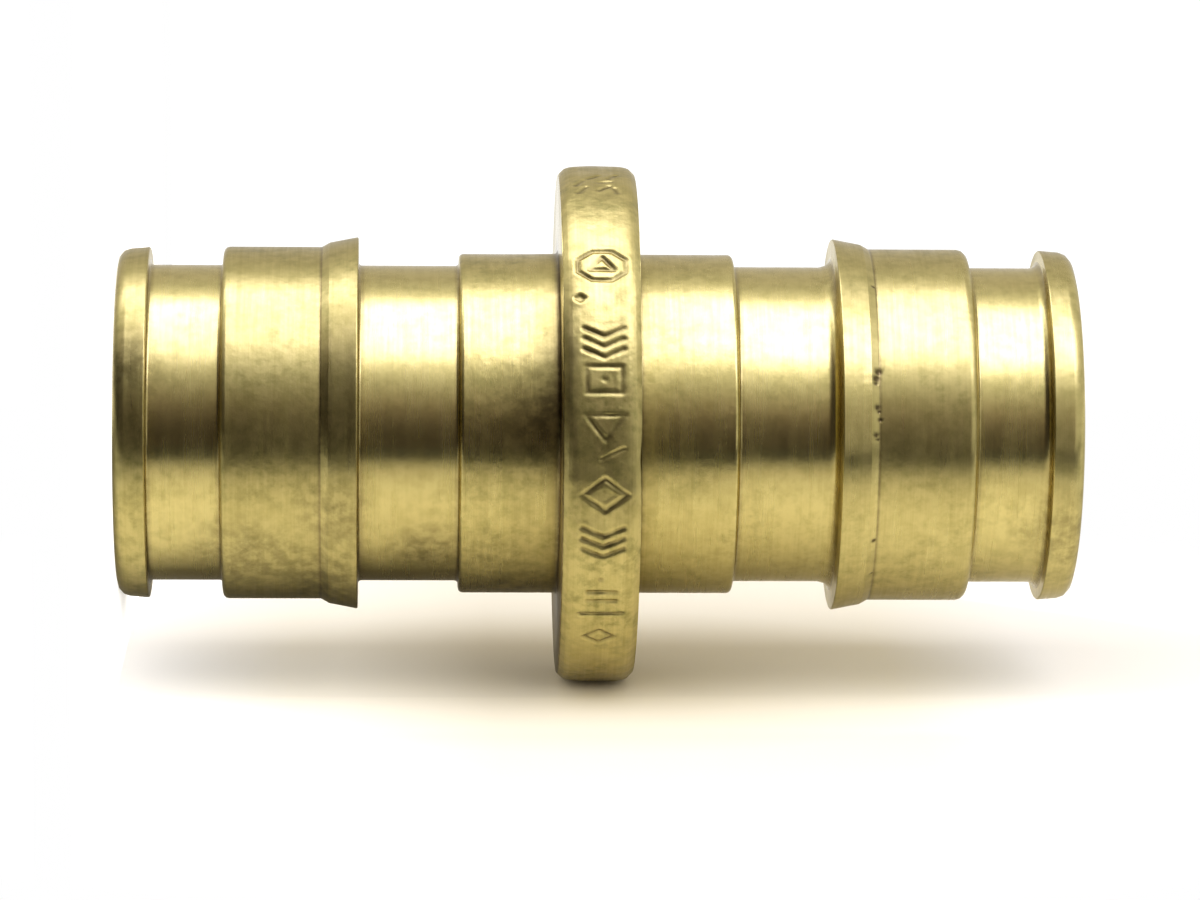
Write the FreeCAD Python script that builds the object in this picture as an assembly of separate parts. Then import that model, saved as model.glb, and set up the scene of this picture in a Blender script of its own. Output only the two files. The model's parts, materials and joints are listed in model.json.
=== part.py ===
import FreeCAD, Part
import os

# Barbed brass coupling that joins two ends of plastic water pipe, turned from one blank.
# A stop collar stands at mid length, with the same spigot on each side of it.
# Millimetres. +Z runs along the waterway. The origin is the centre of the lower end,
# which the part stands on.

# Waterway and wall
BORE_DIA = 10.5
MOUTH_CHAMFER = 0.3
GROOVE_WALL = 0.975

# Rise of each ring above the floor of the grooves
INNER_LAND_RISE = 0.475
OUTER_LAND_RISE = 0.725
MAIN_BARB_RISE = 1.125
END_BARB_RISE = 0.7
COLLAR_RISE = 3.975

# Lengths along the axis, from the middle of the part outwards
COLLAR_WIDTH = 3.0
INNER_LAND_LENGTH = 3.9
INNER_GROOVE_LENGTH = 3.95
MAIN_BARB_LENGTH = 1.45
OUTER_LAND_LENGTH = 3.85
OUTER_GROOVE_LENGTH = 2.9
END_BARB_LENGTH = 1.25

# Slopes: the main barb has a short steep toe and then a flatter ramp up to its crest,
# and the end barb falls a little from its crest to its nose
MAIN_TOE_LENGTH = 0.32
MAIN_TOE_RISE = 0.18
END_BARB_FALL = 0.1

# The collar's rim is highest along its middle
COLLAR_CROWN = 0.1

# How much of each edge is broken, and the round of the nose; the barbs' crests stay sharp
COLLAR_EDGE_BREAK = 0.3
INNER_LAND_BREAK = 0.18
OUTER_LAND_BREAK = 0.28
END_NOSE_ROUND = 0.5

# A broken or rounded edge takes at most this share of the flat beside it
EDGE_LIMIT = 0.45

# Two ring edges are the same one when they are this close
EDGE_MATCH = 1e-4

# Radii
bore_r = BORE_DIA / 2
mouth_r = bore_r + MOUTH_CHAMFER
groove_r = bore_r + GROOVE_WALL
inner_land_r = groove_r + INNER_LAND_RISE
outer_land_r = groove_r + OUTER_LAND_RISE
main_barb_r = groove_r + MAIN_BARB_RISE
main_toe_r = outer_land_r + MAIN_TOE_RISE
end_barb_r = groove_r + END_BARB_RISE
end_nose_r = end_barb_r - END_BARB_FALL
collar_r = groove_r + COLLAR_RISE
collar_edge_r = collar_r - COLLAR_CROWN

# Distances from the middle of the part to each step of a spigot
collar_face = COLLAR_WIDTH / 2
inner_land_end = collar_face + INNER_LAND_LENGTH
main_barb_back = inner_land_end + INNER_GROOVE_LENGTH
main_barb_end = main_barb_back + MAIN_BARB_LENGTH
outer_land_end = main_barb_end + OUTER_LAND_LENGTH
end_barb_back = outer_land_end + OUTER_GROOVE_LENGTH
spigot_end = end_barb_back + END_BARB_LENGTH


def section_point(radius, height):
    """A point of the half section, which lies in the XZ plane."""
    return FreeCAD.Vector(radius, 0, height)


def broken_outline(corners):
    """The points of an outline whose corners are each a radius, a height and how much is broken."""
    points = []
    for index, (radius, height, cut) in enumerate(corners):
        corner = section_point(radius, height)
        if cut == 0:
            points.append(corner)
            continue
        for neighbour in (corners[index - 1], corners[index + 1]):
            side = section_point(neighbour[0], neighbour[1]) - corner
            share = min(cut / side.Length, EDGE_LIMIT)
            points.append(corner + side * share)
    return points


def straight_edges(points):
    """Join the points of an outline by straight edges."""
    return [Part.makeLine(start, end) for start, end in zip(points, points[1:])]


def turn(edges):
    """Turn a closed half section about the waterway's axis."""
    section = Part.Face(Part.Wire(edges))
    return section.revolve(FreeCAD.Vector(0, 0, 0), FreeCAD.Vector(0, 0, 1), 360)


def ring_edges(shape, radius, height):
    """The circular edges of a shape at one radius and height."""
    found = []
    for edge in shape.Edges:
        if not isinstance(edge.Curve, Part.Circle):
            continue
        same_radius = abs(edge.Curve.Radius - radius) < EDGE_MATCH
        same_height = abs(edge.Curve.Center.z - height) < EDGE_MATCH
        if same_radius and same_height:
            found.append(edge)
    return found


def make_collar():
    """The stop collar: a disc with a crowned rim and broken corners."""
    cut = min(COLLAR_EDGE_BREAK, EDGE_LIMIT * COLLAR_WIDTH)
    rim_low = section_point(collar_edge_r, cut - collar_face)
    rim_crest = section_point(collar_r, 0)
    rim_high = section_point(collar_edge_r, collar_face - cut)
    rim = Part.Arc(rim_low, rim_crest, rim_high).toShape()
    rest = straight_edges([
        rim_high,
        section_point(collar_edge_r - cut, collar_face),
        section_point(0, collar_face),
        section_point(0, -collar_face),
        section_point(collar_edge_r - cut, -collar_face),
        rim_low,
    ])
    return turn([rim] + rest)


def make_spigot():
    """One spigot with its grooves and barbs, from the middle of the part up to its rounded nose."""
    outline = broken_outline([
        (0, 0, 0),
        (inner_land_r, 0, 0),
        (inner_land_r, inner_land_end, INNER_LAND_BREAK),
        (groove_r, inner_land_end, 0),
        (groove_r, main_barb_back, 0),
        (main_barb_r, main_barb_back, 0),
        (main_toe_r, main_barb_end - MAIN_TOE_LENGTH, 0),
        (outer_land_r, main_barb_end, 0),
        (outer_land_r, outer_land_end, OUTER_LAND_BREAK),
        (groove_r, outer_land_end, 0),
        (groove_r, end_barb_back, 0),
        (end_barb_r, end_barb_back, 0),
        (end_nose_r, spigot_end, 0),
        (0, spigot_end, 0),
        (0, 0, 0),
    ])
    spigot = turn(straight_edges(outline))
    nose = min(END_NOSE_ROUND, EDGE_LIMIT * END_BARB_LENGTH)
    return spigot.makeFillet(nose, ring_edges(spigot, end_nose_r, spigot_end))


def make_waterway():
    """What the through bore takes away, with a chamfer at each mouth."""
    return turn(straight_edges([
        section_point(0, -spigot_end),
        section_point(mouth_r, -spigot_end),
        section_point(bore_r, MOUTH_CHAMFER - spigot_end),
        section_point(bore_r, spigot_end - MOUTH_CHAMFER),
        section_point(mouth_r, spigot_end),
        section_point(0, spigot_end),
        section_point(0, -spigot_end),
    ]))


def make_coupling():
    """Collar and two mirrored spigots in one solid, bored through and stood on its lower end."""
    spigot = make_spigot()
    twin = spigot.mirror(FreeCAD.Vector(0, 0, 0), FreeCAD.Vector(0, 0, 1))
    body = make_collar().fuse([spigot, twin]).cut(make_waterway()).removeSplitter()
    body.translate(FreeCAD.Vector(0, 0, spigot_end))
    return body.Solids[0]


os.makedirs("parts", exist_ok=True)
make_coupling().exportStep("parts/coupling_body.step")
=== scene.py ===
import json
import math

import bmesh
import bpy
import numpy as np
from mathutils import Matrix, Vector, noise


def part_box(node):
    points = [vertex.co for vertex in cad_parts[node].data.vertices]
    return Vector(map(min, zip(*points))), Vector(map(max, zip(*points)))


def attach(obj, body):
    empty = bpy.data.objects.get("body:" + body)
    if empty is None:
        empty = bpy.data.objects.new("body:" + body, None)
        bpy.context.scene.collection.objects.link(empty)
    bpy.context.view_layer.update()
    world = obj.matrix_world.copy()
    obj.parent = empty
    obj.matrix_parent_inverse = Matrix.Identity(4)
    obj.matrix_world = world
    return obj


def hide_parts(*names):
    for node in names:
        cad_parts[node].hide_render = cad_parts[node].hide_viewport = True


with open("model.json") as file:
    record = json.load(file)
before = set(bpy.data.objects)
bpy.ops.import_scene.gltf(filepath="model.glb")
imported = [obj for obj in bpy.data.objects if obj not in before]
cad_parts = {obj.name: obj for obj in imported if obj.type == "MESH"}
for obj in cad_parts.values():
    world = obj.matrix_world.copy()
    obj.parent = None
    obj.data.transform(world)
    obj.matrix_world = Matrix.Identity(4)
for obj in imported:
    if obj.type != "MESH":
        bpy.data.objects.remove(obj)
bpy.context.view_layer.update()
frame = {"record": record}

# The part stands on its lower end with the waterway along +Z. The photograph shows it on its side,
# so the camera is rolled a quarter turn: +Z points right in the picture, -X up and -Y to the viewer.
# Lengths are in millimetres and become metres where objects are made. Angles are in degrees, counted
# round the waterway's axis: 0 points along -Y, to the viewer, and 90 along -X, up in the picture.
MM = 0.001
DEGREE = math.pi / 180

# What the frame says
low_corner, high_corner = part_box("coupling_body")
mounts = {mount["name"]: mount for mount in frame["record"]["mounts"]}
LENGTH = high_corner.z / MM
MIDDLE = LENGTH / 2
COLLAR_R = 10.2
OUTER_LAND_R = mounts["spigot_upper"]["dims"]["r_mm"]
BORE_R = mounts["waterway"]["dims"]["r_mm"]

# Radii and stations of the turned rings, counted from the middle of the part
GROOVE_R = 6.225
INNER_LAND_R = 6.7
MAIN_BARB_R = 7.35
MAIN_TOE_R = 7.13
END_BARB_R = 6.925
END_NOSE_R = 6.825
COLLAR_EDGE_R = 10.12
# How flat the collar's crown is along its middle
CROWN_POWER = 4
COLLAR_FACE = 1.5
INNER_LAND_END = 5.4
MAIN_BARB_BACK = 9.35
MAIN_TOE_START = 10.48
MAIN_BARB_END = 10.8
OUTER_LAND_END = 14.65
END_BARB_BACK = 17.55
MOUTH_CHAMFER = 0.3
COLLAR_CHAMFER = 0.24

# Rounds of the ring edges; the two spigots' outer lands were broken differently
CREST_ROUND = 0.06
TOE_ROUND = 0.1
GROOVE_FILLET = 0.14
# The upper spigot's tool had a rounder nose behind the main barb and behind the end barb
UPPER_MAIN_FILLET = 0.5
UPPER_END_FILLET = 0.35
COLLAR_ROOT = 0.16
INNER_LAND_ROUND = 0.18
LOWER_LAND_ROUND = 0.22
UPPER_LAND_ROUND = 0.36
NOSE_ROUND = 0.52
COLLAR_ROUND = 0.1
MOUTH_ROUND = 0.05

# Mesh steps round the axis. Rows with small marks have each step divided, most on the marked side.
BODY_STEPS = 240
MARKED_PARTS = 5
PLAIN_PARTS = 2
MARKED_SECTOR = (-70, 95)
# The viewer's side, as the rings' points are counted from +X
VIEWER_TURN = 270

# Mesh steps along the section
SECTION_STEP = 1.2
FINE_STEP = 0.09
RIM_STEP = 0.07
EDGE_STEP = 0.12
BORE_STEP = 4
ROUND_STEP = 30 * DEGREE
# How near a surface still counts as on it
SKIN = 0.04
# What stays free between the skin and the box of the solid
BOX_GAP = 0.004
# A point that has moved further than this takes the normal of its faces
MOVED = 0.0004

# Stretches of the section with fine rows, from the middle of the part: a burr beside the collar and
# the pitted toe of the upper main barb
BURR_ZONE = (-2.6, -1.6)
PITTED_ZONE = (10.35, 10.95)


def rounded_section(corners):
    """Places and directions along a section whose corners are (radius, height, round), without its ends."""
    rows = []
    for first, here, last in zip(corners, corners[1:], corners[2:]):
        spot = Vector(here[:2])
        size = here[2]
        before = (Vector(first[:2]) - spot).normalized()
        after = (Vector(last[:2]) - spot).normalized()
        half = before.angle(after) / 2
        centre = spot + (before + after).normalized() * (size / math.sin(half))
        start = spot + before * (size / math.tan(half)) - centre
        turn = math.pi - 2 * half
        if before.y * after.x < before.x * after.y:
            turn = -turn
        steps = max(2, round(abs(turn) / ROUND_STEP))
        for step in range(steps + 1):
            turned = Matrix.Rotation(turn * step / steps, 2)
            rows.append((centre + turned @ start, turned @ -before))
    return rows


def spigot_corners(side, land_round, main_fillet, end_fillet):
    """Corners of one spigot's section, from the collar's face to the bore. side is 1 above, -1 below."""
    rows = [
        (COLLAR_EDGE_R - COLLAR_CHAMFER, COLLAR_FACE, 0),
        (INNER_LAND_R, COLLAR_FACE, COLLAR_ROOT),
        (INNER_LAND_R, INNER_LAND_END, INNER_LAND_ROUND),
        (GROOVE_R, INNER_LAND_END, GROOVE_FILLET),
        (GROOVE_R, MAIN_BARB_BACK, main_fillet),
        (MAIN_BARB_R, MAIN_BARB_BACK, CREST_ROUND),
        (MAIN_TOE_R, MAIN_TOE_START, TOE_ROUND),
        (OUTER_LAND_R, MAIN_BARB_END, TOE_ROUND),
        (OUTER_LAND_R, OUTER_LAND_END, land_round),
        (GROOVE_R, OUTER_LAND_END, GROOVE_FILLET),
        (GROOVE_R, END_BARB_BACK, end_fillet),
        (END_BARB_R, END_BARB_BACK, CREST_ROUND),
        (END_NOSE_R, MIDDLE, NOSE_ROUND),
        (BORE_R + MOUTH_CHAMFER, MIDDLE, MOUTH_ROUND),
        (BORE_R, MIDDLE - MOUTH_CHAMFER, MOUTH_ROUND),
        (BORE_R, 0, 0),
    ]
    return [(radius, MIDDLE + side * height, size) for radius, height, size in rows]


def rim_corners(side):
    """Corners of the collar's section on one side, from its face to its rim."""
    rows = [
        (INNER_LAND_R, COLLAR_FACE, 0),
        (COLLAR_EDGE_R - COLLAR_CHAMFER, COLLAR_FACE, COLLAR_ROUND),
        (COLLAR_EDGE_R, COLLAR_FACE - COLLAR_CHAMFER, COLLAR_ROUND),
        (COLLAR_EDGE_R, 0, 0),
    ]
    return [(radius, MIDDLE + side * height, size) for radius, height, size in rows]


def rim_crown():
    """Rows of the rim between its chamfers: flat in the middle and falling off to both sides."""
    half = COLLAR_FACE - COLLAR_CHAMFER
    rise = COLLAR_R - COLLAR_EDGE_R
    count = math.ceil(2 * half / RIM_STEP)
    rows = []
    for index in range(1, count):
        along = 2 * index / count - 1
        place = Vector((COLLAR_EDGE_R + rise * (1 - along ** CROWN_POWER), MIDDLE + half * along))
        slope = -CROWN_POWER * rise * along ** (CROWN_POWER - 1)
        rows.append((place, Vector((slope, half)).normalized()))
    return rows


def row_step(height):
    """How far the next row is on a straight stretch at this height."""
    for low, high in (BURR_ZONE, PITTED_ZONE):
        if low <= height - MIDDLE <= high:
            return FINE_STEP
    return SECTION_STEP


def filled(rows, largest):
    """Adds rows on the straight stretches."""
    full = []
    for (here, direction), (there, _) in zip(rows, rows[1:]):
        full.append((here, direction))
        length = (there - here).length
        along = (there - here) / length
        done = min(largest, row_step(here.y))
        while done < length - FINE_STEP / 2:
            place = here + along * done
            full.append((place, along))
            done += min(largest, row_step(place.y))
    full.append(rows[-1])
    return full


def section_rows():
    """Rows of the whole skin as (place, direction, has small marks), from the lower bore mouth upwards."""
    lower = rounded_section(spigot_corners(-1, LOWER_LAND_ROUND, GROOVE_FILLET, GROOVE_FILLET)[::-1])
    upper = rounded_section(spigot_corners(1, UPPER_LAND_ROUND, UPPER_MAIN_FILLET, UPPER_END_FILLET))
    low_edge = rounded_section(rim_corners(-1))
    high_edge = rounded_section(rim_corners(1)[::-1])
    outside = filled(lower, SECTION_STEP)
    outside += filled([lower[-1], low_edge[0]], SECTION_STEP)[1:-1]
    rows = [(*row, False) for row in outside]
    rim = filled(low_edge, EDGE_STEP) + rim_crown() + filled(high_edge, EDGE_STEP)
    rows += [(*row, True) for row in rim]
    outside = filled([high_edge[-1], upper[0]], SECTION_STEP)[1:-1]
    outside += filled(upper, SECTION_STEP)
    for place, direction in outside:
        pitted = PITTED_ZONE[0] < place.y - MIDDLE < PITTED_ZONE[1] and place.x > OUTER_LAND_R - SKIN
        rows.append((place, direction, pitted))
    rows += [(*row, False) for row in filled([upper[-1], lower[0]], BORE_STEP)[1:-1]]
    return rows


def angle_between(angles, angle):
    """Angles as counted from another angle, from -180 to 180."""
    return (angles - angle + 180) % 360 - 180


def step_parts(index, marked):
    """Into how many parts one step round the axis is divided."""
    if not marked:
        return 1
    facing = angle_between(VIEWER_TURN, 360 * index / BODY_STEPS)
    return MARKED_PARTS if MARKED_SECTOR[0] < facing < MARKED_SECTOR[1] else PLAIN_PARTS


def ring_steps(marked):
    """For each step round the axis, where its part starts in the ring, and all the ring's turns."""
    starts = []
    turns = []
    for index in range(BODY_STEPS):
        starts.append(len(turns))
        parts = step_parts(index, marked)
        turns += [(index + part / parts) / BODY_STEPS for part in range(parts)]
    return starts + [len(turns)], turns


RINGS = {marked: ring_steps(marked) for marked in (False, True)}


def step_corners(ring, index):
    """The vertices of a ring along one step round the axis."""
    first, marked = ring
    starts, turns = RINGS[marked]
    return [first + place % len(turns) for place in range(starts[index], starts[index + 1] + 1)]


def skin_faces(rings):
    """Faces between neighbouring rings, also where small marks begin and end."""
    faces = []
    for ring, after in zip(rings, rings[1:] + rings[:1]):
        for index in range(BODY_STEPS):
            low = step_corners(ring, index)
            high = step_corners(after, index)
            if len(low) == len(high):
                for part in range(len(low) - 1):
                    faces.append((low[part], low[part + 1], high[part + 1], high[part]))
            else:
                faces.append(tuple(low + high[::-1]))
    return faces


# Stamped marks on the rim, all plain shapes. A stroke is a line between two places, each given as
# (round the rim, across the rim) from the mark's own centre.
STROKE = 0.2
STAMP_DEPTH = 0.07
STAMP_LIP = 0.012
LIP_WIDTH = 0.1
# The shapes are narrower round the rim than across it
NARROW = 0.75
ARROW_LENGTH = 0.35
# How much of the depth is lost where the rim is worn, how far apart such places are and how common
STAMP_WEAR = 0.6
STAMP_WEAR_SIZE = 0.55
STAMP_WEAR_LEVEL = 0.5
STAMP_WEAR_SEED = 7


def outline(places):
    """Strokes that join places into a closed shape."""
    return list(zip(places, places[1:] + places[:1]))


def polygon(sides, size, turn=0.0):
    """A shape with equal sides, its first corner turned by an angle."""
    corners = []
    for index in range(sides):
        angle = (turn + 360 * index / sides) * DEGREE
        corners.append((NARROW * size * math.cos(angle), size * math.sin(angle)))
    return outline(corners)


def bars(count, gap, half):
    """Straight lines across the rim, side by side."""
    first = -gap * (count - 1) / 2
    return [((first + gap * index, -half), (first + gap * index, half)) for index in range(count)]


def dots(places):
    """Strokes without length."""
    return [(place, place) for place in places]


def chevrons(count, gap, half):
    """Arrow heads that follow one another round the rim."""
    strokes = []
    for index in range(count):
        tip = gap * (index - (count - 1) / 2)
        strokes.append(((tip + ARROW_LENGTH, -half), (tip, 0)))
        strokes.append(((tip, 0), (tip + ARROW_LENGTH, half)))
    return strokes


# Angle from the viewer's side, place across the rim, share of the depth, strokes
STAMPS = [
    (75, -0.1, 0.8, [((-0.9, -0.7), (-0.4, -0.4)), ((-0.2, -0.8), (0.3, -0.5)), ((0.5, -0.3), (0.9, 0.1)),
                     ((-0.7, 0.1), (-0.3, 0.5)), ((0.1, 0.1), (0.2, 0.6)), ((-0.9, 0.8), (-0.5, 0.7)),
                     ((0.5, 0.5), (1.0, 0.8))]),
    (44.6, 0.0, 1.5, polygon(8, 1.0, 22.5) + polygon(3, 0.55)),
    (36.2, -0.85, 2.2, polygon(4, 0.13) + dots([(0, 0)])),
    (24.6, 0.05, 1.1, chevrons(3, 0.42, 0.75)),
    (17.5, 0.05, 0.9, polygon(4, 0.95, 45) + dots([(0, 0)])),
    (8, 0.1, 0.9, polygon(3, 0.85, 60)),
    (1.5, 0.3, 1.2, [((-0.2, -0.35), (0.2, 0.5))]),
    (-7.5, 0.1, 1.0, polygon(4, 0.85)),
    (-19.5, 0.05, 1.1, chevrons(3, 0.45, 0.8)),
    (-28, 0.0, 1.8, dots([(0, 0)])),
    (-32.8, 0.05, 1.8, bars(2, 0.45, 0.55)),
    (-38, 0.05, 1.8, bars(1, 0, 0.8)),
    (-46, 0.0, 1.4, polygon(4, 0.55)),
]

# Dents in the rim: angle, place across, size, depth
DENTS = [(1, 1.15, 0.55, 0.06), (-4, 0.9, 0.4, 0.04), (52, -1.1, 0.4, 0.04), (-28, -1.2, 0.35, 0.04)]

# Pits at the toe of the upper main barb: angle, distance from the middle, size
PITS = [(24.8, 10.74, 0.13), (22.6, 10.66, 0.13), (21, 10.64, 0.08), (13.4, 10.69, 0.1), (12, 10.74, 0.06),
        (9.4, 10.8, 0.07), (4.6, 10.64, 0.08), (3.2, 10.7, 0.05), (-32, 10.68, 0.08), (-48, 10.7, 0.05),
        (58, 10.7, 0.06), (140, 10.66, 0.1), (205, 10.7, 0.08)]
PIT_DEPTH = 0.035
# How dark a pit is: how many times the share of its depth, and the most, a little more than in a stamp
PIT_DARK = 2
PIT_DARK_TOP = 1.2

# Unevenness of the rim: the forged blank shows through where the cut was light
RIM_WAVE = 0.016
WAVE_SIZE = 0.7
WAVE_SEED = 3
EDGE_WAVE = 0.03
EDGE_WAVE_SIZE = 1.6
EDGE_WAVE_SEED = 11
EDGE_REACH = 0.4
# How far apart the two edges' patterns are taken, so that they differ
EDGE_APART = 4

# A burr stands beside the collar on the upper side of the picture
BURR_ANGLE = 98
BURR_SPREAD = 26
BURR_PLACE = -1.95
BURR_WIDTH = 0.22
BURR_RISE = 0.12


def turned_angle(points):
    """Each point's angle round the axis, from the viewer's side."""
    return np.degrees(np.arctan2(-points[:, 0], -points[:, 1]))


def stroke_distance(places, start, end):
    """Distance from each place to a line between two places."""
    start, end = np.array(start), np.array(end)
    line = end - start
    share = np.zeros(len(places))
    if line.any():
        share = np.clip((places - start) @ line / (line @ line), 0, 1)
    return np.linalg.norm(places - start - share[:, None] * line, axis=1)


def bumps(angles, across, size, seed):
    """Smooth random heights between about -1 and 1 on a turned surface."""
    turn = angles * DEGREE
    places = np.stack([COLLAR_R * np.cos(turn), COLLAR_R * np.sin(turn), across], axis=1) / size + seed
    return np.array([noise.noise(Vector(place)) for place in places])


def stamped(angles, across):
    """Height that the stamps add, and how deep in a stroke each point is, from 0 to 1."""
    height = np.zeros(len(angles))
    inside = np.zeros(len(angles))
    for angle, place, share, strokes in STAMPS:
        local = np.stack([angle_between(angles, angle) * DEGREE * COLLAR_R, across - place], axis=1)
        away = np.min([stroke_distance(local, *stroke) for stroke in strokes], axis=0)
        core = np.clip(1 - away / (STROKE / 2 + LIP_WIDTH / 2), 0, 1)
        core = core * core * (3 - 2 * core)
        lip = np.exp(-((away - STROKE / 2 - LIP_WIDTH) / LIP_WIDTH) ** 2)
        height += share * (STAMP_LIP * lip - STAMP_DEPTH * core)
        inside = np.maximum(inside, core * min(share, 1))
    patches = bumps(angles, across, STAMP_WEAR_SIZE, STAMP_WEAR_SEED)
    worn = 1 - STAMP_WEAR * np.clip(STAMP_WEAR_LEVEL + patches, 0, 1)
    return height * worn, inside * worn


def bowl(angles, across, centre, size, radius):
    """How deep in a round hollow each point is, from 0 to 1. centre is (angle, place across)."""
    arc = angle_between(angles, centre[0]) * DEGREE * radius
    return np.exp(-((arc / size) ** 2 + ((across - centre[1]) / size) ** 2))


def rim_wear(angles, across):
    """Unevenness of the rim, more towards its edges, and its dents."""
    level = bumps(angles, across, WAVE_SIZE, WAVE_SEED) * RIM_WAVE - RIM_WAVE
    edge = np.clip((np.abs(across) - (COLLAR_FACE - COLLAR_CHAMFER - EDGE_REACH)) / EDGE_REACH, 0, 1)
    side = EDGE_APART * np.sign(across)
    level += (bumps(angles, side, EDGE_WAVE_SIZE, EDGE_WAVE_SEED) * EDGE_WAVE - EDGE_WAVE) * edge * edge
    for angle, place, size, deep in DENTS:
        level -= deep * bowl(angles, across, (angle, place), size, COLLAR_R)
    return level


def mark_surface(coords):
    """Moves the points in or out for stamps, dents, pits and the burr.

    Gives each point's depth share and whether it was moved.
    """
    radius = np.linalg.norm(coords[:, :2], axis=1)
    across = coords[:, 2] - MIDDLE
    angles = turned_angle(coords)
    rise = np.zeros(len(coords))
    depth = np.zeros(len(coords))

    rim = radius > COLLAR_EDGE_R - COLLAR_CHAMFER - SKIN
    rise[rim], depth[rim] = stamped(angles[rim], across[rim])
    rise[rim] += rim_wear(angles[rim], across[rim])

    pitted = (across > PITTED_ZONE[0]) & (across < PITTED_ZONE[1]) & (radius > OUTER_LAND_R - SKIN)
    for angle, place, size in PITS:
        pit = bowl(angles[pitted], across[pitted], (angle, place), size, OUTER_LAND_R)
        rise[pitted] -= PIT_DEPTH * pit
        depth[pitted] = np.maximum(depth[pitted], np.minimum(PIT_DARK * pit, PIT_DARK_TOP))

    beside = (across > BURR_ZONE[0]) & (across < BURR_ZONE[1]) & (radius > GROOVE_R)
    turn = np.exp(-((angle_between(angles[beside], BURR_ANGLE) / BURR_SPREAD) ** 2))
    ridge = np.exp(-(((across[beside] - BURR_PLACE) / BURR_WIDTH) ** 2))
    rise[beside] += BURR_RISE * turn * ridge

    reach = np.minimum(radius + rise, high_corner.x / MM - BOX_GAP)
    coords[:, :2] *= (reach / radius)[:, None]
    return depth, np.abs(rise) > MOVED


def make_body():
    """The whole coupling as one closed skin."""
    coords = []
    normals = []
    rings = []
    for place, direction, marked in section_rows():
        rings.append((len(coords), marked))
        for turn in RINGS[marked][1]:
            angle = 2 * math.pi * turn
            coords.append((place.x * math.cos(angle), place.x * math.sin(angle), place.y))
            normals.append((direction.y * math.cos(angle), direction.y * math.sin(angle), -direction.x))
    coords = np.array(coords)
    normals = np.array(normals)
    depth, moved = mark_surface(coords)
    mesh = bpy.data.meshes.new("coupling_skin")
    mesh.from_pydata((coords * MM).tolist(), [], skin_faces(rings))
    skin = bmesh.new()
    skin.from_mesh(mesh)
    bmesh.ops.recalc_face_normals(skin, faces=skin.faces)
    skin.to_mesh(mesh)
    skin.free()
    mesh.shade_smooth()

    # The turned flats and rounds keep their exact normals, moved points take those of their faces
    found = np.empty(normals.size)
    mesh.vertex_normals.foreach_get("vector", found)
    normals[moved] = found.reshape(normals.shape)[moved]
    mesh.normals_split_custom_set_from_vertices(normals.tolist())

    marked = mesh.attributes.new("depth", "FLOAT", "POINT")
    marked.data.foreach_set("value", depth.astype(np.float32))
    body = bpy.data.objects.new("coupling_skin", mesh)
    bpy.context.scene.collection.objects.link(body)
    return body


class Nodes:
    """Short ways to add and join the nodes of one material or world."""

    def __init__(self, tree):
        self.tree = tree

    def add(self, kind, **inputs):
        """A new node of one kind, with its inputs given by name."""
        node = self.tree.nodes.new("ShaderNode" + kind)
        for name, value in inputs.items():
            self.give(node.inputs[name.replace("_", " ")], value)
        return node

    def give(self, socket, value):
        """A socket takes another node's output or a plain value."""
        if isinstance(value, bpy.types.NodeSocket):
            self.tree.links.new(value, socket)
        else:
            socket.default_value = value

    def math(self, operation, *values):
        """The result of a sum on numbers."""
        node = self.tree.nodes.new("ShaderNodeMath")
        node.operation = operation
        for socket, value in zip(node.inputs, values):
            self.give(socket, value)
        return node.outputs[0]

    def vector(self, operation, *values):
        """A node with a sum on vectors."""
        node = self.tree.nodes.new("ShaderNodeVectorMath")
        node.operation = operation
        for socket, value in zip(node.inputs, values):
            self.give(socket, value)
        return node

    def spread(self, value, low, high, to_low=0.0, to_high=1.0, smooth=False):
        """Maps a value from one range to another, held at both ends."""
        node = self.tree.nodes.new("ShaderNodeMapRange")
        if smooth:
            node.interpolation_type = "SMOOTHSTEP"
        for name, item in zip(("Value", "From Min", "From Max", "To Min", "To Max"),
                              (value, low, high, to_low, to_high)):
            self.give(node.inputs[name], item)
        return node.outputs["Result"]

    def blend(self, share, first, second):
        """A colour between two, by share."""
        node = self.tree.nodes.new("ShaderNodeMix")
        node.data_type = "RGBA"
        self.give(node.inputs["Factor"], share)
        for name, colour in (("A", first), ("B", second)):
            socket = next(item for item in node.inputs if item.name == name and item.type == "RGBA")
            self.give(socket, colour if isinstance(colour, bpy.types.NodeSocket) else (*colour, 1))
        return next(item for item in node.outputs if item.type == "RGBA")

    def mix(self, share, first, second):
        """A shader between two, by share."""
        node = self.tree.nodes.new("ShaderNodeMixShader")
        for socket, value in zip(node.inputs, (share, first, second)):
            self.give(socket, value)
        return node.outputs["Shader"]

    def product(self, value, *others):
        """All values multiplied."""
        for other in others:
            value = self.math("MULTIPLY", value, other)
        return value

    def total(self, value, *others):
        """All values added."""
        for other in others:
            value = self.math("ADD", value, other)
        return value

    def noise(self, place, scale, detail, rough):
        """Smooth random values about a half."""
        node = self.add("TexNoise", Vector=place, Scale=scale, Detail=detail, Roughness=rough)
        return node.outputs["Fac"]


# Brass, clean in the grooves and more tarnished on the lands and the collar
CLEAN = (0.635, 0.53, 0.2)
DULL = (0.495, 0.41, 0.137)
OLIVE = (0.3, 0.27, 0.085)
# Brown of the painted shade in the inner corners and on the collar's lower face
SHADE_BROWN = (0.2, 0.145, 0.06)
# What the metal gives towards its edges
EDGE_TINT = (0.88, 0.84, 0.74)
# The gloss is drawn out round the axis, under a thin clear film
GLOSS_STRETCH = 0.75
GLOSS_TURN = 0.25
FILM = 0.15
FILM_ROUGH = 0.25

# Between which radii the floor of a groove becomes a land, and a spigot the collar
LAND_RISE = (GROOVE_R + 0.1, INNER_LAND_R - 0.05)
COLLAR_RISE = (MAIN_BARB_R + 0.5, COLLAR_EDGE_R - 0.5)
# How much of the lands' tarnish the upper spigot has
UPPER_SHARE = 0.4
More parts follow.
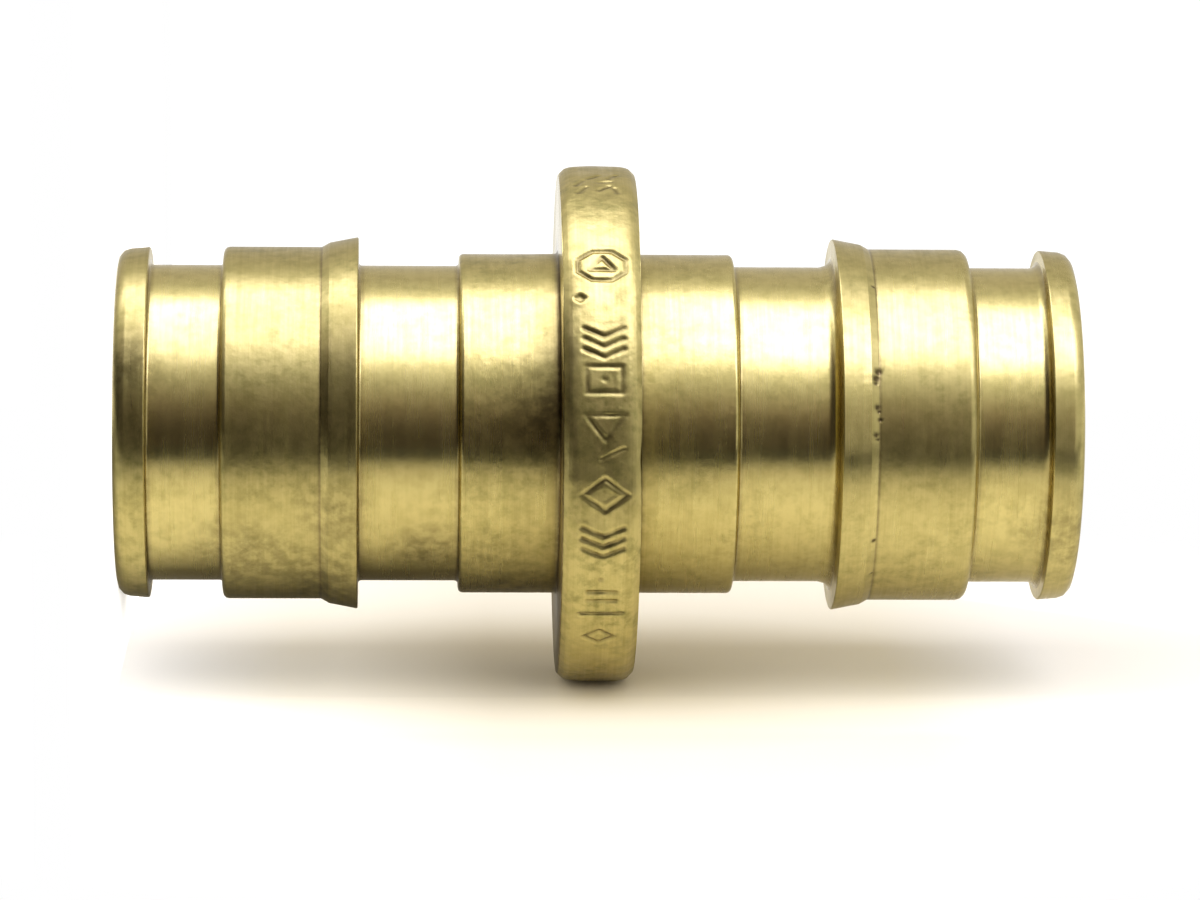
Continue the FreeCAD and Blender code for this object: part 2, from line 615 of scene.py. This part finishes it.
# The rings beyond the inner lands reflect a little less and are rougher: from which distance from the
# middle, and between which radii
OUTER_FROM = INNER_LAND_END + 0.2
OUTER_RISE = (GROOVE_R + 0.2, GROOVE_R + 0.4)
OUTER_SHARE = 0.92
OUTER_ROUGH = 0.04

# Patterns: scale for each millimetre, detail and roughness
CLOUDS = (0.45, 3, 0.55)
BLOTCHES = (1.9, 4, 0.6)
SPECKLES = (4.2, 3, 0.6)
GRAIN = (7.0, 3, 0.6)
DIMPLES = (3.0, 3, 0.5)
# Tool marks, long round the axis and fine along it: both scales, detail and roughness
STREAKS = (1.2, 6.5, 4, 0.7)
BANDS = (0.8, 1.6, 2, 0.5)

# How a pattern or a share turns into tarnish: from, to, and what they give
TARNISH_CLOUDS = (0.38, 0.62)
TARNISH_LANDS = (0, 1, 0.45, 1)
DULL_BLOTCHES = (0.36, 0.66, 0, 0.6)
DULL_STREAKS = (0.32, 0.68, -0.2, 0.3)
DULL_LANDS = (0, 1, -0.1, 0.3)
OLIVE_BLOTCHES = (0.42, 0.66)
OLIVE_SPECKLES = (0.36, 0.64, 0.35, 1)
OLIVE_COLLAR = (0, 1, 0.7, 1)

# Darker colour in the stamps and pits
SUNK_DARK = (0.11, 0.08, 0.03)
SUNK_SHARE = 0.85
# Painted shade in the inner corners: distance from the middle, radius that it stays under, how far it
# reaches
CORNER_SHADE = [
    (INNER_LAND_END, GROOVE_R + 0.25, 0.22),
    (MAIN_BARB_BACK, GROOVE_R + 0.35, 0.3),
    (MAIN_BARB_END, OUTER_LAND_R + 0.03, 0.1),
    (OUTER_LAND_END, GROOVE_R + 0.25, 0.22),
    (END_BARB_BACK, GROOVE_R + 0.25, 0.25),
    (COLLAR_FACE, INNER_LAND_R + 0.2, 0.32),
]
CORNER_SHADE_BLOTCHES = (0.3, 0.6, 0.45, 0.75)
# Dark painted shade in the corners beside the collar: how far along the land, over which radii it fades
# out on the collar's faces, and how much
ROOT_SHADE = (0.045, 0.028, 0.012)
ROOT_SHADE_REACH = 0.22
ROOT_SHADE_FADE = (6.8, 7.6)
ROOT_SHADE_SHARE = 0.9
ROOT_SHADE_BLOTCHES = (0.3, 0.5, 0.6, 1)
# The collar's lower face is painted brown as shade, which fades out towards the upper side of the picture,
# where the face is also smoother
LOWER_FACE_SHADE_BLOTCHES = (0.3, 0.6, 0.55, 1)
LOWER_FACE_UPWARD = (-5, 2)
FACE_SMOOTH = 0.22
# Brown stains, and one painted shade beside the collar: place, its height from the middle, reach and share
STAIN_AND_SHADE_COLOUR = (0.17, 0.135, 0.05)
STAIN_AND_SHADE_SPOTS = [
    # The first is painted shade on the lower inner land beside the collar, where the land mirrors the
    # collar's dark face; the rest are stains
    (-1.4, -6.5, -1.2, 3.4, 0.9),
    (4.4, -4.4, -6.6, 1.8, 0.8),
    (4.9, -4.6, -4.3, 2.2, 0.35),
    (6.2, -2.5, -3.6, 3.0, 0.7),
    (4.7, -5.1, -13.8, 2.6, 0.7),
    (5.6, -4.3, -10.6, 2.4, 0.7),
    (-3.2, -6.0, -18.1, 1.6, 0.7),
    (2.9, -6.7, -10.1, 2.0, 0.6),
    (3.6, -5.9, 18.2, 2.6, 0.6),
]
STAIN_AND_SHADE_CORE = 0.3
STAIN_AND_SHADE_BLOTCHES = (0.37, 0.63, 0.22, 0.85)

# Roughness: of the tool marks, and what tarnish, collar and lands add
ROUGH_STREAKS = (0.3, 0.7, 0.18, 0.28)
ROUGH_BANDS = (0.3, 0.7, -0.05, 0.05)
TARNISH_ROUGH = 0.05
COLLAR_ROUGH = 0.04
LAND_ROUGH = 0.06
# The tool left a rougher surface beside the collar: to which distance from the middle, and how much
ROOT_REACH = 3.6
ROOT_ROUGH = 0.07
# The inner lands are smoother than the outer ones
INNER_SMOOTH = 0.03

# Relief: how much the lands and the collar are dimpled, how much the tool marks count, and depths
DIMPLED_LANDS = (0, 1, 0.3, 1.7)
DIMPLED_COLLAR = (0, 1, 1, 2.1)
STREAK_RELIEF = 0.2
DIMPLE_DEPTH = 0.005
GRAIN_DEPTH = 0.001


class Surface:
    """Where on the part a place is, and the patterns there."""

    def __init__(self, nodes):
        self.nodes = nodes
        scaled = nodes.vector("SCALE", nodes.add("TexCoord").outputs["Object"])
        scaled.inputs["Scale"].default_value = 1 / MM
        self.place = scaled.outputs["Vector"]
        parts = nodes.add("SeparateXYZ", Vector=self.place)
        # +X points down in the picture
        self.down = parts.outputs["X"]
        self.height = parts.outputs["Z"]
        flat = nodes.add("CombineXYZ", X=self.down, Y=parts.outputs["Y"]).outputs["Vector"]
        self.unit = nodes.vector("NORMALIZE", flat).outputs["Vector"]
        self.radius = nodes.vector("LENGTH", flat).outputs["Value"]
        self.beside = nodes.math("ABSOLUTE", nodes.math("SUBTRACT", self.height, MIDDLE))
        self.find_rings()
        self.streak = self.tool_marks(*STREAKS)
        self.band = self.tool_marks(*BANDS)
        self.blotch = nodes.noise(self.place, *BLOTCHES)
        self.tarnish = nodes.product(
            nodes.spread(nodes.noise(self.place, *CLOUDS), *TARNISH_CLOUDS),
            nodes.spread(self.land, *TARNISH_LANDS),
        )

    def find_rings(self):
        """Shares of the lands, of the collar, of the outer rings and of all but the bore."""
        nodes = self.nodes
        upper = nodes.spread(self.height, MIDDLE + COLLAR_FACE, MIDDLE + INNER_LAND_END, 1, UPPER_SHARE)
        self.land = nodes.product(nodes.spread(self.radius, *LAND_RISE), upper)
        self.collar = nodes.spread(self.radius, *COLLAR_RISE)
        self.outside = nodes.math("GREATER_THAN", self.radius, BORE_R + MOUTH_CHAMFER)
        beyond = nodes.math("GREATER_THAN", self.beside, OUTER_FROM)
        self.outer = nodes.product(beyond, nodes.spread(self.radius, *OUTER_RISE))

    def tool_marks(self, round_scale, along_scale, detail, rough):
        """Noise with its own scales round the axis and along it."""
        nodes = self.nodes
        along = nodes.add("CombineXYZ", Z=nodes.product(self.height, along_scale))
        spot = nodes.vector("MULTIPLY_ADD", self.unit, (round_scale, round_scale, 0))
        nodes.give(spot.inputs[2], along.outputs["Vector"])
        return nodes.noise(spot.outputs["Vector"], 1.0, detail, rough)


def tarnished(nodes, spot):
    """The metal's own colour with its dull and olive tarnish."""
    dull = nodes.total(
        nodes.spread(spot.blotch, *DULL_BLOTCHES),
        nodes.spread(spot.streak, *DULL_STREAKS),
        nodes.spread(spot.land, *DULL_LANDS),
    )
    olive = nodes.product(
        spot.tarnish,
        nodes.spread(spot.blotch, *OLIVE_BLOTCHES),
        nodes.spread(nodes.noise(spot.place, *SPECKLES), *OLIVE_SPECKLES),
        nodes.spread(spot.collar, *OLIVE_COLLAR),
    )
    return nodes.blend(olive, nodes.blend(dull, CLEAN, DULL), OLIVE)


def stain_and_shade_share(nodes, spot):
    """How much of the stains and of the painted shade beside the collar a place has: most near their
    centres.
    """
    stain_and_shade_level = 0.0
    for across, back, along, reach, share in STAIN_AND_SHADE_SPOTS:
        centre = Vector((across, back, MIDDLE + along))
        away = nodes.vector("DISTANCE", spot.place, centre).outputs["Value"]
        near = nodes.spread(away, STAIN_AND_SHADE_CORE * reach, reach, share, 0)
        stain_and_shade_level = nodes.math("MAXIMUM", stain_and_shade_level, near)
    return nodes.product(stain_and_shade_level, nodes.spread(spot.blotch, *STAIN_AND_SHADE_BLOTCHES))


def corner_shade_share(nodes, spot):
    """How much painted shade lies in the inner corners."""
    corner_shade = 0.0
    for corner, top, reach in CORNER_SHADE:
        away = nodes.math("ABSOLUTE", nodes.math("SUBTRACT", spot.beside, corner))
        under = nodes.math("LESS_THAN", spot.radius, top)
        near = nodes.product(nodes.spread(away, 0, reach, 1, 0), under)
        corner_shade = nodes.math("MAXIMUM", corner_shade, near)
    return nodes.product(corner_shade, nodes.spread(spot.blotch, *CORNER_SHADE_BLOTCHES), spot.outside)


def root_shade_share(nodes, spot):
    """How much dark painted shade lies at the foot of the collar."""
    return nodes.product(
        nodes.spread(spot.beside, COLLAR_FACE, COLLAR_FACE + ROOT_SHADE_REACH, ROOT_SHADE_SHARE, 0),
        nodes.spread(spot.radius, *ROOT_SHADE_FADE, 1, 0),
        spot.outside,
        nodes.math("GREATER_THAN", spot.beside, COLLAR_FACE - SKIN),
        nodes.spread(spot.blotch, *ROOT_SHADE_BLOTCHES),
    )


def lower_face(nodes, spot, inner_radius):
    """The collar's lower face outside a radius."""
    face = nodes.math("COMPARE", spot.height, MIDDLE - COLLAR_FACE, SKIN)
    return nodes.product(face, nodes.math("GREATER_THAN", spot.radius, inner_radius))


def stained_and_shaded(nodes, spot, colour):
    """A colour with the darker stamps and pits, the stains, and painted shade in the inner corners, at the
    collar's foot and on its lower face.
    """
    sunk = nodes.add("Attribute")
    sunk.attribute_name = "depth"
    colour = nodes.blend(nodes.product(sunk.outputs["Fac"], SUNK_SHARE), colour, SUNK_DARK)
    colour = nodes.blend(stain_and_shade_share(nodes, spot), colour, STAIN_AND_SHADE_COLOUR)
    colour = nodes.blend(corner_shade_share(nodes, spot), colour, SHADE_BROWN)
    colour = nodes.blend(root_shade_share(nodes, spot), colour, ROOT_SHADE)
    # Painted shade: the collar's lower face is brown, fading out towards the upper side of the picture
    face = nodes.product(
        lower_face(nodes, spot, INNER_LAND_R),
        nodes.spread(spot.blotch, *LOWER_FACE_SHADE_BLOTCHES),
        nodes.spread(spot.down, *LOWER_FACE_UPWARD),
    )
    return nodes.blend(face, colour, SHADE_BROWN)


def roughness(nodes, spot):
    """How rough the metal is, by ring and by tarnish."""
    inner = nodes.product(
        nodes.math("LESS_THAN", spot.beside, INNER_LAND_END),
        nodes.math("GREATER_THAN", spot.beside, COLLAR_FACE),
    )
    clean = nodes.product(
        lower_face(nodes, spot, INNER_LAND_R + COLLAR_ROOT),
        nodes.spread(spot.down, *LOWER_FACE_UPWARD, 1, 0),
    )
    return nodes.total(
        nodes.spread(spot.streak, *ROUGH_STREAKS),
        nodes.spread(spot.band, *ROUGH_BANDS),
        nodes.product(spot.tarnish, TARNISH_ROUGH),
        nodes.product(spot.collar, COLLAR_ROUGH),
        nodes.product(spot.land, LAND_ROUGH),
        nodes.spread(spot.beside, COLLAR_FACE, ROOT_REACH, ROOT_ROUGH, 0),
        nodes.product(spot.outer, OUTER_ROUGH),
        nodes.product(inner, -INNER_SMOOTH),
        nodes.product(clean, -FACE_SMOOTH),
    )


def relief(nodes, spot):
    """Dimples, tool marks and grain, as bent normals."""
    dimples = nodes.product(
        nodes.noise(spot.place, *DIMPLES),
        nodes.spread(spot.land, *DIMPLED_LANDS),
        nodes.spread(spot.collar, *DIMPLED_COLLAR),
    )
    height = nodes.total(dimples, nodes.product(spot.streak, STREAK_RELIEF))
    coarse = nodes.add("Bump", Height=height, Strength=1.0, Distance=DIMPLE_DEPTH * MM)
    fine = nodes.add("Bump", Height=nodes.noise(spot.place, *GRAIN), Strength=1.0,
                     Distance=GRAIN_DEPTH * MM, Normal=coarse.outputs["Normal"])
    return fine.outputs["Normal"]


def brass_material():
    """Turned brass, satin and a little tarnished."""
    material = bpy.data.materials.new("brass")
    material.use_nodes = True
    nodes = Nodes(material.node_tree)
    shader = material.node_tree.nodes["Principled BSDF"]
    shader.inputs["Metallic"].default_value = 1
    shader.inputs["Anisotropic"].default_value = GLOSS_STRETCH
    shader.inputs["Anisotropic Rotation"].default_value = GLOSS_TURN
    shader.inputs["Coat Weight"].default_value = FILM
    shader.inputs["Coat Roughness"].default_value = FILM_ROUGH
    shader.inputs["Specular Tint"].default_value = (*EDGE_TINT, 1)
    spot = Surface(nodes)
    colour = nodes.vector("SCALE", stained_and_shaded(nodes, spot, tarnished(nodes, spot)))
    nodes.give(colour.inputs["Scale"], nodes.spread(spot.outer, 0, 1, 1, OUTER_SHARE))
    nodes.give(shader.inputs["Base Color"], colour.outputs["Vector"])
    nodes.give(shader.inputs["Roughness"], roughness(nodes, spot))
    nodes.give(shader.inputs["Normal"], relief(nodes, spot))
    return material


body = make_body()
body.data.materials.append(brass_material())
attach(body, "root")
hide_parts("coupling_body")


# A light tent round the part: what each direction gives. A strip of cloth overhead is the brightest.
# Its two edges slant, nearer to the viewer on the right of the picture, and the front is open and dark.
SHELL_R = 150
SHELL_HALF = 210
SHELL_STEPS = 42
SHELL_FROM = -20
SHELL_TO = 175
# The tent's ends close in steps: radius and level, on the left and on the right
LEFT_END = [(100, 0.25), (50, 0.15), (5, 0.15)]
RIGHT_END = [(100, 0.9), (50, 0.9), (5, 0.9)]
# What is brighter than this level fades out beyond the core of the tent
TENT_LEVEL = 0.85
CORE_HALF = 120
CORE_FADE = 60
# Angle of each edge, by distance from the middle towards the right
FRONT_EDGE = [(-80, 93), (-45, 88), (-20, 48.5), (25, 40), (85, 31)]
BACK_EDGE = [(-70, 118), (25, 111), (60, 88.5), (95, 85)]
# Level by angle from the edge
FRONT_RISE = [(-60, 0.05), (-40, 0.09), (-30, 0.21), (-22, 0.42), (-15, 0.61), (-8, 0.79), (-2, 1.0),
              (4, 1.5), (10, 2.8), (18, 4.8)]
BACK_FALL = [(-14, 4.6), (-7, 2.6), (0, 1.3), (10, 0.8), (25, 0.68), (60, 0.72)]
# Towards the right end the front closes: its level, and from and to which distance
RIGHT_FRONT = 0.85
RIGHT_FROM = 50
RIGHT_TO = 95
# The dim parts are warmer
DIM_TINT = (1.0, 0.83, 0.79)
DIM_FROM = 0.25
DIM_TO = 0.8
# The brightest cloth is a little cooler
BRIGHT_TINT = (1.0, 1.0, 1.28)
BRIGHT_FROM = 1.2
BRIGHT_TO = 3.0


def shell_colour(angle, along):
    """What the tent gives at an angle and a distance from the middle."""
    front = np.interp(angle - np.interp(along, *zip(*FRONT_EDGE)), *zip(*FRONT_RISE))
    back = np.interp(angle - np.interp(along, *zip(*BACK_EDGE)), *zip(*BACK_FALL))
    level = max(min(front, back), np.interp(along, (RIGHT_FROM, RIGHT_TO), (0, RIGHT_FRONT)))
    core = np.interp(abs(along), (CORE_HALF, CORE_HALF + CORE_FADE), (1, 0))
    level = min(level, TENT_LEVEL) + max(level - TENT_LEVEL, 0) * core
    warm = np.interp(level, (DIM_FROM, DIM_TO), (1, 0))
    cool = np.interp(level, (BRIGHT_FROM, BRIGHT_TO), (0, 1))
    tints = zip(DIM_TINT, BRIGHT_TINT)
    return [level * (1 + (dim - 1) * warm + (bright - 1) * cool) for dim, bright in tints]


def tent_rows():
    """Rows of the tent from end to end as (distance along, radius, share of its level)."""
    rows = [(-SHELL_HALF, radius, share) for radius, share in LEFT_END[::-1]]
    for part in range(SHELL_STEPS + 1):
        rows.append((SHELL_HALF * (2 * part / SHELL_STEPS - 1), SHELL_R, 1))
    return rows + [(SHELL_HALF, radius, share) for radius, share in RIGHT_END]


def tent_material():
    """Cloth that gives off what is set at its points."""
    material = bpy.data.materials.new("tent")
    material.use_nodes = True
    material.node_tree.nodes.clear()
    nodes = Nodes(material.node_tree)
    source = nodes.add("Attribute")
    source.attribute_name = "glow"
    light = nodes.add("Emission", Color=source.outputs["Color"])
    nodes.add("OutputMaterial", Surface=light.outputs["Emission"])
    return material


def make_tent():
    """A curved diffuser with a glow of its own at each point."""
    coords = []
    colours = []
    rows = tent_rows()
    for angle in range(SHELL_FROM, SHELL_TO + 1):
        turn = angle * DEGREE
        for along, radius, share in rows:
            spot = Vector((-radius * math.sin(turn), -radius * math.cos(turn), MIDDLE + along))
            coords.append(spot * MM)
            glow = shell_colour(angle, along)
            colours.append([share * level for level in glow] + [1])
    row = len(rows)
    faces = []
    for index in range(SHELL_TO - SHELL_FROM):
        for part in range(row - 1):
            corner = index * row + part
            faces.append((corner, corner + 1, corner + row + 1, corner + row))
    mesh = bpy.data.meshes.new("tent")
    mesh.from_pydata(coords, [], faces)
    glow = mesh.attributes.new("glow", "FLOAT_COLOR", "POINT")
    glow.data.foreach_set("color", np.array(colours, dtype=np.float32).ravel())
    mesh.materials.append(tent_material())
    tent = bpy.data.objects.new("tent", mesh)
    bpy.context.scene.collection.objects.link(tent)
    tent.visible_camera = False
    tent.visible_diffuse = False


make_tent()

# Soft lamps that light the paper: direction round the axis, height and width of the lamp, level
LAMP_AWAY = 300
LAMPS = [
    ("front", 14, 150, 715, 2.62),
    ("back", 168, 195, 715, 1.86),
    ("top", 60, 346, 860, 0.72),
]
LAMP_COLOUR = (1.0, 0.985, 0.96)
# The power of one square metre of lamp at level 1
LAMP_POWER = 4 * math.pi


def make_lamps():
    """Wide area lamps along the part, which the metal doesn't mirror."""
    for name, angle, tall, wide, level in LAMPS:
        light = bpy.data.lights.new("lamp_" + name, "AREA")
        light.shape = "RECTANGLE"
        light.size = wide * MM
        light.size_y = tall * MM
        light.energy = LAMP_POWER * level * light.size * light.size_y
        light.color = LAMP_COLOUR
        lamp = bpy.data.objects.new(light.name, light)
        bpy.context.scene.collection.objects.link(lamp)
        turn = angle * DEGREE
        back = Vector((-math.sin(turn), -math.cos(turn), 0))
        across = Vector((0, 0, 1))
        aim = Matrix((across, back.cross(across), back)).transposed()
        place = back * LAMP_AWAY + Vector((0, 0, MIDDLE))
        lamp.matrix_world = Matrix.Translation(place * MM) @ aim.to_4x4()
        lamp.visible_camera = False
        lamp.visible_glossy = False


make_lamps()

# The table that the part lies on in the picture is a plane beside the collar
TABLE_GAP = 0.03
TABLE_FRONT = 60
TABLE_REACH = 400
PAPER = (0.9, 0.89, 0.87)
# Painted light that the camera sees beside the paper's own light, by distance from the middle: white on the
# left, which lightens the shadow there, and a cool rest at both ends, where the shadow runs out
LEFT_LIFT = (-10, -4, 0.13)
END_LIFT = (12, 18)
END_LIFT_COLOUR = (0.02, 0.05, 0.12)
# Between which distances the paper runs out into the white of the background
TABLE_RUN_OUT = (23, 44)
# Painted warm shade on the paper at the collar's foot, where little light gets in: to which distance, and
# the shares at the foot
TABLE_FOOT = 16
TABLE_FOOT_TINT = (0.8, 0.75, 0.63)
# Painted reflection: how bright the metal sees the table, painted darker or brighter than the paper by
# place:
# (from, to, share at from, share at to), towards the viewer, under and close behind the part on the left
# and on the right, and far out on the left
MIRRORED_FRONT = (-38, -11, 0.07, 1.05)
MIRRORED_BEHIND = (-4.5, 1)
MIRRORED_ACROSS = (-8, 8, 0.22, 0.8)
MIRRORED_LEFT = (-110, -30, 0.5, 1)
# Far behind the part the mirrored paper is painted open and bright again, brighter than the paper itself
MIRRORED_FAR = (45, 85, 0, 1.2)
MIRRORED_TINT = (0.97, 1.0, 1.06)


def plane(name, corners, material):
    """A flat stage piece."""
    mesh = bpy.data.meshes.new(name)
    mesh.from_pydata([Vector(corner) * MM for corner in corners], [], [(0, 1, 2, 3)])
    made = bpy.data.objects.new(name, mesh)
    bpy.context.scene.collection.objects.link(made)
    mesh.materials.append(material)
    return made


def mirrored_share(nodes, position):
    """How bright the metal sees the table at a place: a painted reflection, darker or brighter than the
    paper.
    """
    parts = nodes.add("SeparateXYZ", Vector=position)
    along = nodes.math("SUBTRACT", parts.outputs["Z"], MIDDLE * MM)

    def ramp(value, places, shares):
        return nodes.spread(value, places[0] * MM, places[1] * MM, *shares)

    front = ramp(parts.outputs["Y"], MIRRORED_FRONT[:2], MIRRORED_FRONT[2:])
    across = ramp(along, MIRRORED_ACROSS[:2], MIRRORED_ACROSS[2:])
    behind = ramp(parts.outputs["Y"], MIRRORED_BEHIND, (1, across))
    left = ramp(along, MIRRORED_LEFT[:2], MIRRORED_LEFT[2:])
    far = ramp(parts.outputs["Y"], MIRRORED_FAR[:2], MIRRORED_FAR[2:])
    return nodes.math("MAXIMUM", nodes.product(front, behind, left), far)


def table_lift(nodes, position):
    """Painted light that the camera sees beside the real light on the table."""
    along = nodes.math("SUBTRACT", nodes.add("SeparateXYZ", Vector=position).outputs["Z"], MIDDLE * MM)
    left = nodes.spread(along, LEFT_LIFT[0] * MM, LEFT_LIFT[1] * MM, LEFT_LIFT[2], 0)
    end = nodes.spread(nodes.math("ABSOLUTE", along), END_LIFT[0] * MM, END_LIFT[1] * MM)
    lift = nodes.vector("SCALE", END_LIFT_COLOUR)
    nodes.give(lift.inputs["Scale"], end)
    return nodes.vector("ADD", lift.outputs["Vector"], left).outputs["Vector"]


def paper_material(name, centre, mirrored, lift, run_out):
    """Pale paper, there from its front only, that runs out into the white of the background."""
    material = bpy.data.materials.new(name)
    material.use_nodes = True
    material.node_tree.nodes.clear()
    nodes = Nodes(material.node_tree)
    camera_ray = nodes.add("LightPath").outputs["Is Camera Ray"]
    geometry = nodes.add("NewGeometry")
    position = geometry.outputs["Position"]
    away = nodes.vector("DISTANCE", position, Vector(centre) * MM).outputs["Value"]
    # For mirrored rays the paper is painted darker or brighter by place, a painted reflection
    share = nodes.math("MAXIMUM", mirrored_share(nodes, position), camera_ray) if mirrored else 1.0
    shade = nodes.vector("SCALE", PAPER)
    nodes.give(shade.inputs["Scale"], share)
    shade = shade.outputs["Vector"]
    if mirrored:
        # Painted warm shade at the collar's foot
        foot = nodes.blend(nodes.spread(away, 0, TABLE_FOOT * MM), TABLE_FOOT_TINT, (1, 1, 1))
        shade = nodes.vector("MULTIPLY", shade, foot).outputs["Vector"]
        shade = nodes.vector("MULTIPLY", shade, nodes.blend(camera_ray, MIRRORED_TINT, (1, 1, 1)))
        shade = shade.outputs["Vector"]
    paper = nodes.add("BsdfDiffuse", Color=shade)
    # Painted light on the paper, seen by the camera only
    glowing = nodes.add("Emission", Color=lift(nodes, position), Strength=camera_ray)
    lit = nodes.tree.nodes.new("ShaderNodeAddShader")
    nodes.give(lit.inputs[0], paper.outputs["BSDF"])
    nodes.give(lit.inputs[1], glowing.outputs["Emission"])
    white = nodes.add("Emission", Strength=share)
    fade = nodes.spread(away, run_out[0] * MM, run_out[1] * MM, smooth=True)
    front = nodes.mix(fade, lit.outputs["Shader"], white.outputs["Emission"])
    clear = nodes.add("BsdfTransparent").outputs["BSDF"]
    nodes.add("OutputMaterial", Surface=nodes.mix(geometry.outputs["Backfacing"], front, clear))
    return material


def make_table():
    """The upright plane of paper beside the collar, which takes the shadow."""
    beside = COLLAR_R + TABLE_GAP
    low = MIDDLE - TABLE_REACH
    high = MIDDLE + TABLE_REACH
    corners = [
        (beside, -TABLE_FRONT, low),
        (beside, -TABLE_FRONT, high),
        (beside, TABLE_REACH, high),
        (beside, TABLE_REACH, low),
    ]
    foot = (beside, 0, MIDDLE)
    plane("table", corners, paper_material("table_paper", foot, True, table_lift, TABLE_RUN_OUT))


make_table()

# The floor that the part stands on is small, as the table is in its way
FLOOR_GAP = 0.01
FLOOR_HALF = 60
FLOOR_CENTRE = (1, 5, 0)
# How it brightens outwards for the camera: from, to and how much
FLOOR_GLOW = (5.5, 9, 1.0)
FLOOR_RUN_OUT = (16, 45)


def floor_lift(nodes, position):
    """What the camera sees beside the light on the floor."""
    away = nodes.vector("DISTANCE", position, Vector(FLOOR_CENTRE) * MM).outputs["Value"]
    return nodes.spread(away, FLOOR_GLOW[0] * MM, FLOOR_GLOW[1] * MM, 0, FLOOR_GLOW[2])


def make_floor():
    """The small floor, seen by the camera only."""
    corners = [
        (-FLOOR_HALF, -FLOOR_HALF, -FLOOR_GAP),
        (FLOOR_HALF, -FLOOR_HALF, -FLOOR_GAP),
        (FLOOR_HALF, FLOOR_HALF, -FLOOR_GAP),
        (-FLOOR_HALF, FLOOR_HALF, -FLOOR_GAP),
    ]
    paper = paper_material("floor_paper", FLOOR_CENTRE, False, floor_lift, FLOOR_RUN_OUT)
    floor = plane("floor", corners, paper)
    floor.visible_glossy = False
    floor.visible_diffuse = False
    floor.visible_shadow = False


make_floor()

# The weak warm light that fills the shadows on the paper
WORLD_FILL = (0.59, 0.5, 0.35)


def make_world():
    """White where it is seen or mirrored, and a plain warm fill otherwise."""
    world = bpy.data.worlds.new("studio")
    bpy.context.scene.world = world
    world.use_nodes = True
    world.node_tree.nodes.clear()
    nodes = Nodes(world.node_tree)
    path = nodes.add("LightPath")
    seen = nodes.math("MAXIMUM", path.outputs["Is Camera Ray"], path.outputs["Is Glossy Ray"])
    seen = nodes.math("MAXIMUM", seen, path.outputs["Is Transmission Ray"])
    glow = nodes.add("Background", Color=nodes.blend(seen, WORLD_FILL, (1, 1, 1)))
    nodes.add("OutputWorld", Surface=glow.outputs["Background"])


make_world()

# The camera in the picture's own directions, from the middle of the part: along the axis, up and back
CAMERA_LENS = 187.14
CAMERA_SENSOR = 36
CAMERA_SPOT = (-8.1, 0.15, 246.99)
CAMERA_ELEVATION = 8
CAMERA_YAW = 1.93
CAMERA_PITCH = 0.277
CAMERA_ROLL = -0.195
# Nearest and furthest that the camera sees, in metres
CAMERA_NEAR = 0.01
CAMERA_FAR = 10


def make_camera():
    """The photograph's view."""
    lens = bpy.data.cameras.new("camera")
    lens.lens = CAMERA_LENS
    lens.sensor_width = CAMERA_SENSOR
    lens.clip_start = CAMERA_NEAR
    lens.clip_end = CAMERA_FAR
    camera = bpy.data.objects.new("camera", lens)
    bpy.context.scene.collection.objects.link(camera)
    tilt = CAMERA_ELEVATION * DEGREE
    right = Vector((0, 0, 1))
    up = Vector((-math.cos(tilt), math.sin(tilt), 0))
    back = Vector((-math.sin(tilt), -math.cos(tilt), 0))
    base = Matrix((right, up, back)).transposed()
    turn = Matrix.Rotation(CAMERA_ROLL * DEGREE, 3, "Z")
    turn = turn @ Matrix.Rotation(CAMERA_PITCH * DEGREE, 3, "X")
    turn = turn @ Matrix.Rotation(CAMERA_YAW * DEGREE, 3, "Y")
    place = base @ Vector(CAMERA_SPOT) + Vector((0, 0, MIDDLE))
    camera.matrix_world = Matrix.Translation(place * MM) @ (base @ turn.transposed()).to_4x4()
    bpy.context.scene.camera = camera


make_camera()
bpy.context.scene.view_settings.view_transform = "Standard"
